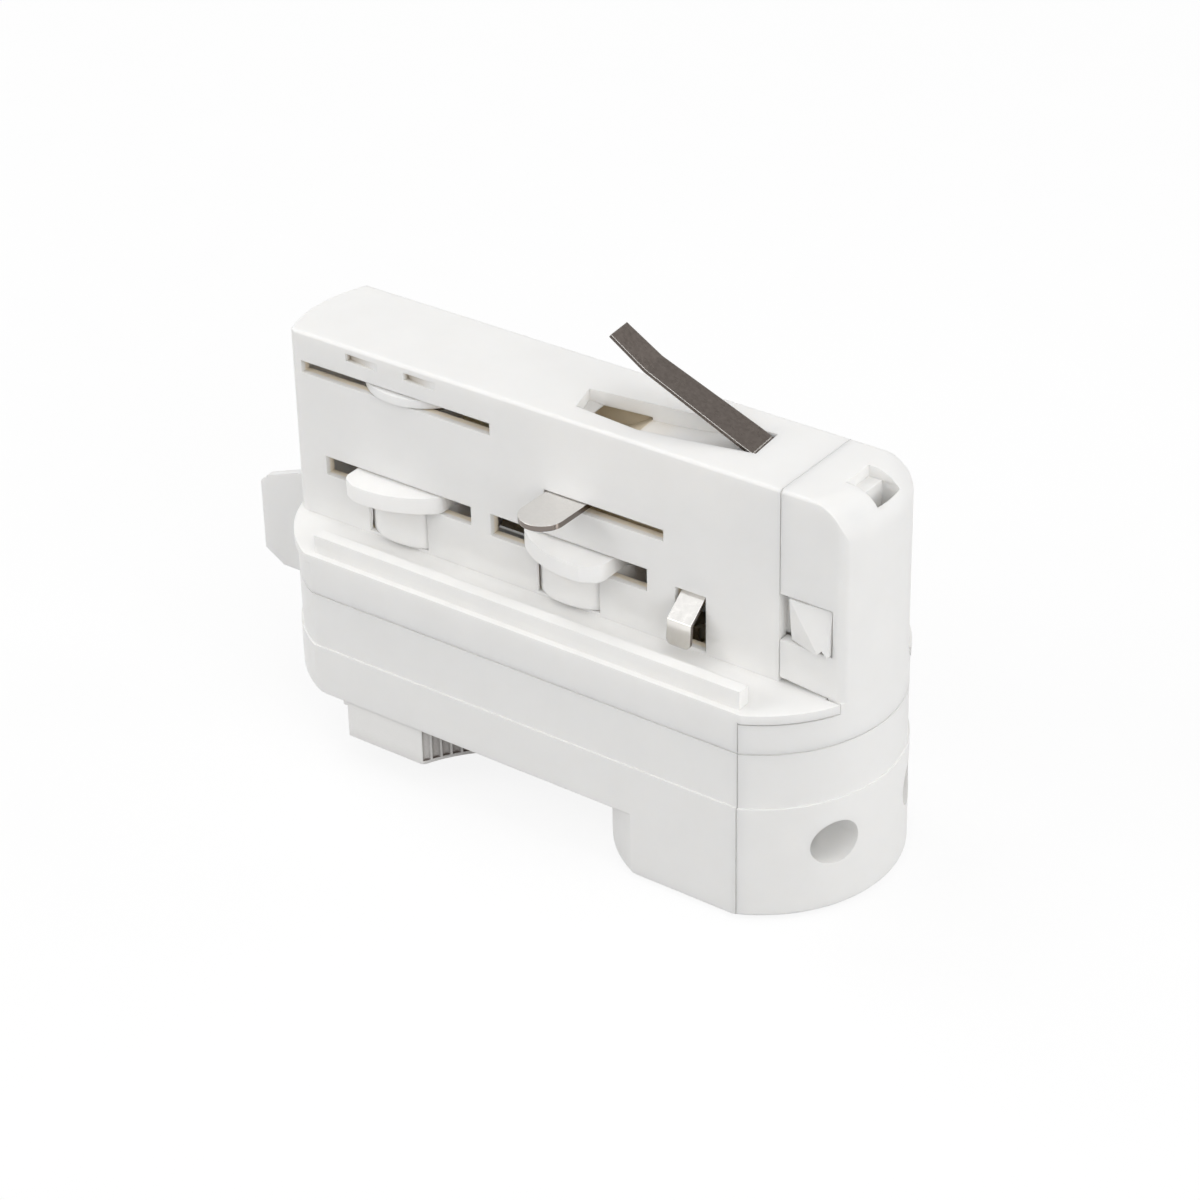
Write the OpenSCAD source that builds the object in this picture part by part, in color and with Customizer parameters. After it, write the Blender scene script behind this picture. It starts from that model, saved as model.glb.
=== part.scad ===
// Track light adapter: a narrow neck with two turning rotors enters the track,
// the wide base stays below it and carries the levers and the lamp stem.
// Frame: X along the body, -Y the front, +Z up, Z = 0 on the ledge that meets the track.

/* [Body] */
// Length over both rounded ends
body_len = 94.7; // [92:0.1:98]
// Width of the base under the track
base_w = 36.3; // [34.5:0.1:37.5]
// Width of the neck that enters the track
neck_w = 16.6; // [16:0.1:17.6]
// How much larger the ends' radius is than half the base's width
end_bulge = 1.95; // [1.5:0.05:2.5]
// Height of the neck above the ledge
neck_h = 28.4; // [28:0.1:30]
// Depth of the upper skirt, from the ledge to the parting line
skirt_h = 5.9; // [5:0.1:6.5]
// Depth of the step line below the ledge
step_h = 14.4; // [12:0.1:16]
// Depth of the base below the ledge
base_h = 22; // [21:0.1:24]
// Depth of the stem block below the ledge
stem_block_h = 31.4; // [30:0.1:34]
// Distance of the end caps' seam past the centre of the rounded end
seam_off = 8.4; // [7.8:0.05:8.8]
// How far the upper tiers stand in from the lowest one
step_in = 0.25; // [0.1:0.05:0.5]
// How far the ledge's lip stands out from the rounded end
lip_out = 0.2; // [0:0.05:0.4]
// Depth and height of the groove at the parting line
groove = 0.2; // [0.1:0.05:0.5]

/* [Walls] */
// Wall of the neck
neck_wall = 1.7; // [1.4:0.1:1.8]
// Wall of the base
base_wall = 2; // [1.6:0.1:2.4]
// Roof of the neck
roof_t = 2; // [1.6:0.1:2.2]
// Ledge plate
ledge_t = 2.2; // [1.8:0.1:2.6]
// Floor of the base
floor_t = 2; // [1.6:0.1:2.4]
// Floor of the stem block
stem_floor_t = 2.5; // [2:0.1:3]

/* [Edges] */
// Rounding of the neck's long top edges
neck_edge_r = 0.5; // [0.3:0.1:1.2]
// Rounding of the upright corners at the lever end
left_corner_r = 1.6; // [1:0.1:3]
// Rounding of the upright corners at the cap end
right_corner_r = 1.5; // [0.8:0.1:2.5]
// Rounding of the top edge at the lever end
left_top_r = 0.7; // [0.4:0.1:2]
// Rounding of the top edge at the cap end
right_top_r = 5; // [3.5:0.1:5.5]
// Rounding of the underside at the lever end
base_end_r = 0.8; // [0.5:0.1:2]
// Rounding of the underside at the cap end
cap_end_r = 0.4; // [0.3:0.1:1]

/* [Polarity rib] */
// Height of the rib on the front ledge
rib_h = 2.7; // [2:0.1:3]
// Thickness of the rib
rib_t = 2; // [1.5:0.1:2.5]
// Distance of the rib from the base's front
rib_in = 1.3; // [0.8:0.1:2]
// Distance of the rib's end from the end caps' seam
rib_end = 0.35; // [0.2:0.05:2]
// How far the rib runs past the same distance at the lever end
rib_past = 0.35; // [0:0.05:0.6]

/* [End caps] */
// Gap between the housings and the end caps
cap_gap = 0.15; // [0.05:0.05:0.3]
// Thickness of the ledge where it runs over the end cap
horn_t = 1.3; // [1.1:0.1:1.6]
// How far that ledge stands in from the cap's edge
horn_in = 0.1; // [0.05:0.05:0.6]
// Gap round that ledge
horn_gap = 0.25; // [0.15:0.05:0.35]
// Length of the latch window
window_len = 8; // [7:0.1:8.5]
// Lower edge of the latch window
window_z = 6.4; // [5:0.1:8]
// Height of the latch window
window_h = 6.9; // [6:0.1:8]
// Distance of the latch from the window's open edge
latch_in = 1.4; // [1:0.1:2]
// Length of the lifting recess's step in the roof
lift_step = 2; // [1.5:0.1:2.4]
// Width of the lifting recess
lift_w = 5.5; // [4.5:0.1:6]
// Depth of that step below the roof
lift_depth = 1.65; // [1.5:0.05:2.1]
// Depth of the recess's pocket below the roof
lift_floor = 7; // [5:0.1:8]
// Distance of the recess's straight side from the body's end
lift_in = 6.1; // [5.8:0.1:6.4]
// Wall left between the recess and the body's end
lift_wall = 0.9; // [0.7:0.1:1.2]

/* [Rotors] */
// Play between the selector lever's hub and the stem block's circle
nest_play = 0.3; // [0.2:0.05:0.6]
// Distance of the locking axis from the centre of the rounded end
lock_in = 0.1; // [0:0.05:0.5]
// Radius of the drums that show in the front face
drum_r = 9.2; // [8.9:0.1:9.4]
// Height of the drums
drum_h = 6.1; // [5.5:0.1:6.3]
// Half width of the drum openings
drum_window = 5.2; // [4.8:0.1:5.6]
// Thickness of the locking cams
cam_t = 2.45; // [2.2:0.05:3]
// Half width of the locking cams
cam_half = 7.4; // [6.8:0.1:7.6]
// Distance left between a cam's reach and the middle of the two axes
cam_wall = 1.175; // [1:0.025:1.6]
// Radius of the cams' eccentric edge
cam_edge_r = 15; // [14.5:0.1:15.5]
// Rounding of the cams' corners
cam_corner = 2; // [1:0.1:2.5]
// Radius of the rotor columns
column_r = 4; // [3.6:0.1:4.2]
// Radius of the rotor's upper pins
pin_r = 2.5; // [2:0.1:2.8]
// Radius of the selector's shaft
shaft_r = 3.5; // [3.2:0.1:3.6]
// Radius of the locking rotor's lower pin
foot_r = 2.2; // [1.8:0.1:2.4]
// Width of the square that drives each lever
square_w = 4.2; // [3.8:0.1:4.4]
// Radius of the disc at the neutral contact
disc_r = 9.1; // [8.9:0.1:9.3]
// Thickness of that disc
disc_t = 1.2; // [1:0.1:1.4]
// Radial clearance of a pin in its bearing
run_gap = 0.05; // [0.02:0.01:0.09]
// Clearance of parts that pass each other
pass_gap = 0.3; // [0.2:0.05:0.35]

/* [Contacts] */
// Height of the neutral contact's slot above the ledge
neutral_z = 22.1; // [21.5:0.1:22.3]
// Height of the phase contact's slot above the ledge
phase_z = 15; // [14.5:0.1:15.5]
// Half length of the neutral contact's slot
neutral_slot_half = 16.4; // [16:0.1:16.8]
// Reach of the neutral tongue from its axis
neutral_reach = 14.6; // [13:0.1:15.5]
// Reach of the phase tongue from its axis
phase_reach = 16.8; // [16:0.1:17.5]
// Width of a contact tongue
tongue_w = 6.6; // [6:0.1:7]
// Thickness of a contact tongue
tongue_t = 0.8; // [0.6:0.05:0.9]
// Thickness of the slip rings
ring_t = 0.65; // [0.5:0.05:0.8]
// Height of the slip rings below the tongue
ring_h = 2.6; // [2:0.1:3]
// Thickness of the bus bars
bar_t = 0.5; // [0.4:0.05:0.7]
// Width of the bus bars
bar_w = 2; // [1.6:0.1:2.4]

/* [Earth leaf] */
// Distance of the leaf's pin from the end caps' seam
leaf_in = 9.05; // [8.5:0.05:9.5]
// Place of the leaf's pin across the body
leaf_y = 0.8; // [0.5:0.1:1]
// Depth of the pin below the roof
leaf_pin_depth = 1.6; // [1.3:0.05:1.6]
// Angle of the leaf in plan
leaf_skew = 5.5; // [4:0.5:6]
// Rise of the leaf's long part
leaf_rise = 26.3; // [24:0.1:28]
// Rise of the leaf's tip
leaf_tip_rise = 35.8; // [30:0.1:38]
// Length of the leaf's long part
leaf_len = 17.9; // [16:0.1:19]
// Length of the leaf's tip
leaf_tip_len = 6.4; // [5:0.1:7]
// Width of the leaf at its root
leaf_w = 5.4; // [5:0.1:5.6]
// Width of the leaf at its tip
leaf_tip_w = 3.9; // [3.4:0.1:4.4]
// Thickness of the spring strip
strip_t = 0.5; // [0.4:0.05:0.6]
// Radius of the pivot pins
pivot_r = 0.7; // [0.6:0.05:0.8]

/* [Earth side contact] */
// Distance of the middle of its window from the end caps' seam
side_in = 13.9; // [13.4:0.05:14.6]
// Width of the window
side_window_w = 4.9; // [4.7:0.1:5.2]
// Lower edge of the window
side_window_z = 0.5; // [0.3:0.1:1]
// Height of the window
side_window_h = 8.3; // [8:0.1:8.8]
// Width of the contact strip
side_w = 3.8; // [3.6:0.1:4.4]
// Reach of the knee from the centre plane
knee_y = 10.6; // [10.2:0.1:11.5]
// Height of the knee
knee_z = 5.4; // [4.8:0.1:5.6]
// Angle of the strip down to the knee
side_slope = 38.9; // [36:0.1:41]
// Length of the strip below the knee
knee_drop = 3.5; // [2.5:0.1:3.8]

/* [Levers] */
// Reach of the locking lever's tab from its axis
tab_reach = 33.4; // [31:0.1:36]
// Thickness of the tab
tab_t = 1.4; // [1.2:0.1:2.4]
// Lower edge of the tab below the ledge
tab_depth = 17.3; // [15:0.1:19]
// Fall of the tab's upper edge towards its tip
tab_fall = 2.7; // [1.5:0.1:3]
// Width of the locking lever's arm
arm_w = 6; // [5:0.1:7]
// Thickness of the locking lever's arm
arm_t = 3.1; // [2.6:0.1:3.4]
// Height of the selector lever
paddle_h = 5.7; // [5:0.1:7]
// Reach of the selector lever's grip from its axis
paddle_reach = 32.6; // [31:0.1:33.5]
// Length of the selector lever's grip
paddle_len = 13.6; // [12:0.1:14.5]
// Depth of the selector lever's grip
paddle_d = 8.5; // [7.5:0.1:10]
// Distance of the grip's front from the base's front
paddle_in = 0.5; // [0.3:0.1:1]
// Pitch of the grip ribs
grip_pitch = 1.5; // [1.2:0.1:1.8]
// Radius of the grip grooves
grip_r = 0.6; // [0.4:0.05:0.7]
// Height of the plain edge below the grip grooves
grip_edge = 0.5; // [0.3:0.1:1]
// Rounding of the grip's front corner
grip_corner = 0.8; // [0.4:0.1:1.2]

/* [Terminals and stem] */
// Thread bore of the stem nut
nut_bore_r = 4.5; // [4:0.1:4.7]
// Width of the stem nut across its flats
nut_flats = 14; // [13:0.1:14.2]
// Height of the stem nut
nut_h = 8; // [6:0.1:9]
// Radius of the hole for the stem
stem_hole_r = 5.3; // [5:0.1:5.6]
// Height of the terminal block
terminal_h = 9; // [8:0.1:9.5]
// Radius of the end cap screws' access holes
access_r = 3.25; // [3.1:0.05:3.5]
// Distance of the end cap screws from the centre plane
cap_screw_y = 8.8; // [8.6:0.1:9.2]
// Depth of the end cap screws below the ledge
cap_screw_z = 21.2; // [20.8:0.1:21.6]
// Radius of the screw shanks
screw_r = 1.4; // [1.2:0.05:1.5]
// Radius of the screw heads
screw_head_r = 2.6; // [2.3:0.1:2.8]

/* [Hidden] */
$fn = 64;

white = [0.94, 0.94, 0.93];
nickel = [0.72, 0.70, 0.67];
brass = [0.78, 0.62, 0.33];
steel = [0.62, 0.63, 0.65];
grey = [0.55, 0.55, 0.54];

// Plan and levels
eps = 0.01;
far = 2 * body_len;
base_half = base_w / 2;
end_r = base_half + end_bulge;
end_x = body_len / 2 - end_r;
seam_x = end_x + seam_off;
neck_half = neck_w / 2;
neck_in = neck_half - neck_wall;
cap_x = seam_x + cap_gap;
horn_root = neck_in + 0.2;
horn_end = body_len / 2 - 4.3;
cap_lift = 0.8;
cap_lift_end = 0.15;
lift_under = 0.1;
roof_seam = [0.03, 1.2, 0.6];
roof_z = neck_h - roof_t;
floor_z = floor_t - base_h;
stem_floor_z = stem_floor_t - stem_block_h;
sel_hub_r = 4.4;
nest_gap = 0.65;
nest_r = end_r + nest_gap;
sel_x = end_x - nest_r - sel_hub_r - nest_play;
lock_x = lock_in - end_x;
cam_reach = (sel_x - lock_x) / 2 - cam_wall;
leaf_x = seam_x - leaf_in;
side_x = seam_x - side_in;
skirt_r = end_r - step_in;
skirt_half = base_half - step_in;

// Rotor levels
drum_z = 0.6;
cam_z = drum_z + drum_h + 0.5;
cam_under = 0.35;
cam_top = cam_z + cam_t;
cam_slot_z = cam_z - pass_gap - cam_under;
cam_slot_top = cam_top + pass_gap;
lock_slot_z = cam_z - pass_gap / 2;
lock_slot_short = 0.4;
cam_slot_half = cam_reach - pass_gap;
cam_offset = [3, 2.5];
slip_r = column_r + run_gap + ring_t;
wiper_gap = 0.15;
boss_wall = 2;
boss_t = 2;

// Locking rotor levels
disc_z = neutral_z + pass_gap;
neutral_slot_h = disc_t + 2 * pass_gap;
lock_boss_z = roof_z - boss_t;
arm_top = -skirt_h - pass_gap;
arm_z = arm_top - arm_t;
keeper_t = 0.9;
keeper_r = foot_r + 1.8;
lock_boss_top = arm_z - keeper_t - pass_gap;
hub_r = 5.4;

// Selector levels
phase_slot_h = 1.7;
phase_tongue_z = phase_z + 0.75;
collar_top = phase_tongue_z + tongue_t + 0.4;
sel_boss_z = collar_top + pass_gap;
sel_boss_top = sel_boss_z + boss_t;
pocket_floor = sel_boss_top + 0.4;
sel_boss_low = floor_z + 4;
thrust_t = 1.2;
thrust_r = shaft_r + 1.5;
paddle_top = -base_h - pass_gap;
paddle_z = paddle_top - paddle_h;
lever_floor = 2.4;
lever_head_t = 1.4;
lever_screw_len = 8.5;
lever_lip = [4, 0.7];
paddle_flare = 6;
arm_out = 1.6;

// Bus bars
bar_y = slip_r + wiper_gap;
neutral_run_z = disc_z - ring_h;
phase_run_z = phase_tongue_z - ring_h;
bar_run_h = 1.8;
neutral_leg_x = (lock_x + sel_x - bar_w) / 2;
phase_leg_x = sel_x + cam_reach + pass_gap;
earth_bar_y = neck_in - bar_t - 1;
earth_head_x = leaf_x - (earth_bar_y + bar_t / 2 - leaf_y) * tan(leaf_skew);
earth_leg_x = earth_head_x - bar_w / 2;
earth_head_w = bar_w + 1.4;

// Terminals
terminal_z = -skirt_h - 2.6 - terminal_h;
terminal_top = terminal_z + terminal_h;
terminal_off = 7.4;
terminal_x0 = sel_x + terminal_off;
terminal_x1 = end_x + 2.6;
terminal_half = 12;
clamp_w = 4;
clamp_d = 5.6;
clamp_h = 5.5;
clamp_y0 = bar_y - 0.9;
neutral_end_x = terminal_x0 + 2.6;
terminals = [[neutral_end_x, 1], [phase_leg_x, -1], [earth_leg_x, 1]];
bar_end_z = terminal_top - 4;

// Screws
screw_gap = 0.05;
driver_w = 0.6;
driver_deep = 1;
terminal_screw_back = 1;
terminal_screw_len = terminal_half - bar_y - bar_t - terminal_screw_back;
head_t = 2;
cap_seat_x = seam_x + 3;
cap_screw_len = 7.4;
housing_screw_end = [8.8, 12];
housing_screw_mid = [17.2, 13];
housing_screw_at = [[lock_x - housing_screw_end[0], -housing_screw_end[1]],
  [lock_x + housing_screw_mid[0], housing_screw_mid[1]],
  [lock_x + housing_screw_mid[0], -housing_screw_mid[1]]];
nut_boss_r = 11;
pillar_r = 3.2;
counterbore_h = 2.5;

// Springs
eye_in = pivot_r + run_gap;
eye_mid = eye_in + strip_t / 2;
eye_out = eye_in + strip_t;
leaf_z = neck_h - leaf_pin_depth;
slot_root = eye_out + pass_gap;
slot_len = leaf_len + leaf_tip_len + 2.7;
slot_root_half = leaf_w / 2 + pass_gap;
slot_tip = [leaf_tip_w / 2 + 0.25, leaf_tip_w / 2 + 0.95];
slot_knee = [-leaf_len * 0.88, -leaf_w / 2 - 2];
slot_slant = 1;
slot_mouth = 0.9;
scoop_r = 70;
scoop_deep = 2.5;
scoop_x = -leaf_len * 0.92;
well_flat = 5;
well_ramp = 4.5;
well_x = [well_flat - slot_len, well_flat + well_ramp - slot_len];
well_deep = 5;
well_under = 1.5;
root_flat = [2.75, 1.15];
notch_len = 5.4;
notch_h = 1.15;
notch_deep = [0.9, 0.1];
notch_at = [-8.2, 1.9];
side_tip_r = 0.8;
pocket_x0 = leaf_x - slot_len - 2.4;
pocket_x1 = leaf_x + eye_out + 2;
side_dir = [-cos(side_slope), -sin(side_slope)];
side_len = (knee_y - 3.9) / cos(side_slope);
side_pin_y = -knee_y - side_dir[0] * side_len + eye_mid * sin(side_slope);
side_pin_z = knee_z - side_dir[1] * side_len - eye_mid * cos(side_slope);
lug_t = 1.4;
lug_gap = 0.2;

// Solid between two heights with the plan of the body, r at the ends and half wide
module plan_solid(r, half, z0, z1) {
  translate([0, 0, z0])
    linear_extrude(z1 - z0)
      intersection() {
        union() {
          for (s = [-1, 1])
            translate([s * end_x, 0])
              circle(r);
          square([2 * end_x, 2 * half], center = true);
        }
        square([far, 2 * half], center = true);
      }
}

// Box that holds everything on the lever side of x
module left_of(x) {
  translate([x - far, -far / 2, -far / 2])
    cube(far);
}

// Box that holds everything on the cap side of x
module right_of(x) {
  translate([x, -far / 2, -far / 2])
    cube(far);
}

// Waste outside a rounded corner of radius f about c, between the directions a and b
module corner_trim(c, f, a, b) {
  difference() {
    polygon([c, c + 2 * f * a, c + 2 * f * (a + b), c + 2 * f * b]);
    translate(c)
      circle(f);
  }
}

// Half profile of a turned end, rounded by top_f above and bottom_f below
module turned_profile(r, h, top_f, bottom_f) {
  difference() {
    square([r, h]);
    if (top_f > 0)
      translate([r - top_f, h - top_f])
        difference() {
          square(2 * top_f);
          circle(top_f);
        }
    if (bottom_f > 0)
      translate([r - bottom_f, bottom_f])
        difference() {
          translate([0, -2 * bottom_f])
            square(2 * bottom_f);
          circle(bottom_f);
        }
  }
}

// Round solid about an upright axis at x
module turned(x, r, z0, z1, top_f = 0, bottom_f = 0) {
  translate([x, 0, z0])
    rotate_extrude()
      turned_profile(r, z1 - z0, top_f, bottom_f);
}

// Section of the neck across the body, with rounded top edges
module neck_section() {
  translate([-neck_half, -1])
    square([neck_w, neck_h + 1 - neck_edge_r]);
  translate([neck_edge_r - neck_half, -1])
    square([neck_w - 2 * neck_edge_r, neck_h + 1]);
  for (s = [-1, 1])
    translate([s * (neck_half - neck_edge_r), neck_h - neck_edge_r])
      circle(neck_edge_r);
}

// Waste outside the rounded upright corners at one end, s = -1 or 1
module corner_waste(s, f) {
  y = neck_half - f;
  x = sqrt(pow(skirt_r - f, 2) - y * y);
  a = atan2(y, x);
  out = skirt_r + 2;
  for (m = [0, 1])
    mirror([0, m, 0])
      mirror([s < 0 ? 1 : 0, 0, 0])
        translate([end_x, 0, 0])
          linear_extrude(neck_h + 1)
            difference() {
              polygon([[x, y], [x, neck_half + 2], [out, neck_half + 2], [out, y], out * [cos(a), sin(a)]]);
              translate([x, y])
                circle(f);
            }
}

// Outer form of the neck over both housings
module neck_outer() {
  difference() {
    intersection() {
      union() {
        turned(-end_x, skirt_r, -1, neck_h, left_top_r);
        turned(end_x, skirt_r, -1, neck_h, right_top_r);
        translate([-end_x, -neck_half, -1])
          cube([2 * end_x, neck_w, neck_h + 1]);
      }
      translate([-far / 2, 0, 0])
        rotate([90, 0, 90])
          linear_extrude(far)
            neck_section();
    }
    corner_waste(-1, left_corner_r);
    corner_waste(1, right_corner_r);
  }
}

// Hollow of the neck
module neck_hollow() {
  plan_solid(skirt_r - neck_wall, neck_in, -skirt_h - 1, roof_z);
}

// Cut through the front and back walls of the neck
module through_slot(x0, x1, z0, h) {
  translate([x0, -neck_half - 1, z0])
    cube([x1 - x0, neck_w + 2, h]);
}

// Openings that the rotors need in the neck's walls
module rotor_openings() {
  for (x = [lock_x, sel_x]) {
    low = x == lock_x ? lock_slot_z : cam_slot_z;
    short = x == lock_x ? lock_slot_short : 0;
    shift = x == lock_x ? -0.4 : 0;
    through_slot(x - cam_slot_half, x + cam_slot_half - short, low, cam_slot_top - low);
    drum_low = drum_z - pass_gap / 2;
    through_slot(x + shift - drum_window, x + shift + drum_window, drum_low, low - drum_low + eps);
    translate([x, 0, drum_low])
      cylinder(r = drum_r + pass_gap, h = low - drum_low + eps);
  }
  through_slot(lock_x - neutral_slot_half, lock_x + neutral_slot_half, neutral_z, neutral_slot_h);
  translate([sel_x - tongue_w / 2 - 0.4, -neck_half - 1, phase_z])
    cube([phase_reach + tongue_w / 2 - 0.7, neck_half, phase_slot_h]);
}

// Wedge-shaped snap notches above the neutral slot
module snap_notches() {
  for (x = notch_at)
    translate([lock_x + x, -neck_half, neutral_z + 4])
      linear_extrude(notch_h)
        polygon([[0, -1], [0, notch_deep[0]], [notch_len, notch_deep[1]], [notch_len, -1]]);
}

// Frame of the earth leaf: the pin runs along local Y, the leaf towards local -X
module at_leaf() {
  translate([leaf_x, leaf_y, leaf_z])
    rotate([0, 0, leaf_skew])
      children();
}

// Scooped slot under the earth leaf
module leaf_slot() {
  at_leaf() {
    intersection() {
      translate([0, 0, -far / 4])
        linear_extrude(far / 2)
          polygon([[slot_mouth, -slot_root_half], [slot_mouth, slot_root_half],
            [-slot_len, slot_tip[0]], [slot_slant - slot_len, -slot_tip[1]], slot_knee]);
      translate([scoop_x, 0, leaf_pin_depth - scoop_deep + scoop_r])
        rotate([90, 0, 0])
          cylinder(r = scoop_r, h = far / 4, center = true, $fn = 128);
    }
    translate([0, slot_tip[0] + well_under, leaf_pin_depth])
      rotate([90, 0, 0])
        linear_extrude(slot_tip[0] + slot_tip[1] + well_under)
          polygon([[-slot_len, -roof_t], [-slot_len, -well_deep], [well_x[0], -well_deep],
            [well_x[1], -scoop_deep + eps], [well_x[1], -roof_t]]);
    translate([-root_flat[0], -slot_root_half, leaf_pin_depth - root_flat[1]])
      cube([root_flat[0] + slot_mouth, 2 * slot_root_half, root_flat[1] + 1]);
    rotate([90, 0, 0])
      cylinder(r = slot_root, h = 2 * slot_root_half, center = true);
  }
}

// Window and inner relief of the earth side contact
module side_window() {
  x0 = side_x - side_window_w / 2;
  translate([x0, -neck_half - 1, side_window_z])
    cube([side_window_w, 1 + neck_wall + eps, side_window_h]);
  translate([x0, -neck_in - neck_wall / 2, side_window_z])
    cube([side_window_w, neck_wall / 2 + eps, side_window_h + 2.4]);
}

// Lugs that hold the side contact's pin
module side_lugs() {
  for (s = [-1, 1])
    translate([side_x + s * (side_w / 2 + lug_gap + lug_t / 2), 0, 0])
      translate([-lug_t / 2, -neck_in - eps, side_pin_z - 2])
        cube([lug_t, neck_in + side_pin_y + 2, 4]);
}

// Tongue with a faceted snap that holds the upper end cap, on the front wall
module latch() {
  x0 = cap_x + latch_in;
  x1 = cap_x + window_len - 0.25;
  z0 = window_z + 0.2;
  z1 = window_z + window_h - 0.3;
  face = neck_in - 0.2;
  proud = 1;
  ridge = [x0, -neck_half - 0.1, z1];
  difference() {
    union() {
      translate([seam_x - 3, -neck_in - eps, z0])
        cube([3, 1.5 + eps, z1 - z0]);
      translate([seam_x - 3, -face, z0])
        cube([x1 - seam_x + 3, 1.3, z1 - z0]);
      translate([x0, -neck_half - proud, z0])
        cube([x1 - x0, neck_half + proud - face + 0.5, z1 - z0]);
    }
    translate(ridge)
      rotate([-11, 0, 4.6])
        translate([-far / 2, -far, -far / 2])
          cube(far);
    translate(ridge)
      rotate([6.2, 0, -17.6])
        translate([-far / 2, -far, -far / 2])
          cube(far);
    translate([x1, 0, z0])
      rotate([0, 40, 0])
        translate([-1.2, -far / 2, -far])
          cube(far);
  }
}

// Bearing boss with its bore open downwards
module roof_boss(x, z0, z1) {
  difference() {
    translate([x, 0, z0])
      cylinder(r = pin_r + run_gap + boss_wall, h = z1 - z0);
    translate([x, 0, z0 - 1])
      cylinder(r = pin_r + run_gap, h = boss_t + 1);
  }
}

module upper_housing() {
  color(white)
    difference() {
      union() {
        difference() {
          intersection() {
            union() {
              neck_outer();
              plan_solid(skirt_r, skirt_half, -skirt_h, 0);
              plan_solid(end_r + lip_out, skirt_half, -horn_t, 0);
            }
            left_of(seam_x);
          }
          neck_hollow();
          plan_solid(end_r - base_wall, base_half - base_wall, -skirt_h - 1, -ledge_t);
        }
        difference() {
          plan_solid(end_r - horn_in, skirt_half, -horn_t, 0);
          left_of(seam_x - 1);
          translate([0, -horn_root, -far / 2])
            cube([far, 2 * horn_root, far]);
          intersection() {
            translate([0, -neck_half - horn_gap, -far / 2])
              cube([far, neck_w + 2 * horn_gap, far]);
            right_of(horn_end);
          }
        }
        translate([rib_end - rib_past - seam_x, rib_in - base_half, -eps])
          cube([2 * (seam_x - rib_end) + rib_past, rib_t, rib_h + eps]);
        for (m = [0, 1])
          mirror([0, m, 0])
            latch();
        translate([pocket_x0, -neck_in - eps, pocket_floor])
          cube([pocket_x1 - pocket_x0, 2 * neck_in + 2 * eps, roof_z - pocket_floor + eps]);
        roof_boss(lock_x, lock_boss_z, roof_z + eps);
        roof_boss(sel_x, sel_boss_z, pocket_floor + eps);
        side_lugs();
        for (p = housing_screw_at)
          translate([p[0], p[1], -skirt_h])
            cylinder(r = pillar_r, h = skirt_h - ledge_t + eps);
      }
      rotor_openings();
      snap_notches();
      leaf_slot();
      at_leaf()
        rotate([90, 0, 0])
          cylinder(r = pivot_r, h = 2 * leaf_w - 1.6, center = true);
      translate([earth_head_x - earth_head_w / 2 - 0.2, earth_bar_y - 0.1, pocket_floor - 1])
        cube([earth_head_w + 0.4, bar_t + 0.2, leaf_z + 0.7 - pocket_floor + 1]);
      side_window();
      translate([side_x, side_pin_y, side_pin_z])
        rotate([0, 90, 0])
          cylinder(r = pivot_r, h = side_w + 2 * lug_gap + 2 * lug_t + 1, center = true);
      for (p = housing_screw_at)
        translate([p[0], p[1], -skirt_h - 1])
          cylinder(r = screw_r + screw_gap, h = skirt_h - ledge_t + 1.6);
    }
}

// Outer form of the base below the parting line, both housings
module base_outer() {
  plan_solid(skirt_r, skirt_half, -step_h, -skirt_h - groove);
  plan_solid(skirt_r - groove, skirt_half - groove, -skirt_h - groove - eps, -skirt_h);
  intersection() {
    union() {
      turned(-end_x, end_r, -base_h, -step_h, 0, base_end_r);
      turned(end_x, end_r, -base_h, -step_h);
      translate([-end_x, -base_half, -base_h])
        cube([2 * end_x, base_w, base_h - step_h]);
      turned(end_x, end_r, -stem_block_h, -step_h, 0, cap_end_r);
    }
    translate([-far / 2, -base_half, -far / 2])
      cube([far, base_w, far]);
  }
}

// Hollow of the base and of the stem block
module base_hollow() {
  plan_solid(end_r - base_wall, base_half - base_wall, floor_z, 0);
  intersection() {
    turned(end_x, end_r - base_wall, stem_floor_z, 0);
    translate([-far / 2, base_wall - base_half, -far / 2])
      cube([far, base_w - 2 * base_wall, far]);
  }
}

// Sector that the locking lever's arm sweeps through the wall
module lever_slot() {
  margin = 12;
  translate([lock_x, 0, arm_z - pass_gap])
    rotate([0, 0, 90 - margin])
      rotate_extrude(angle = 90 + 2 * margin)
        translate([end_r - base_wall - 3, 0])
          square([base_wall + 5, arm_t + 2 * pass_gap + 1]);
}

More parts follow.
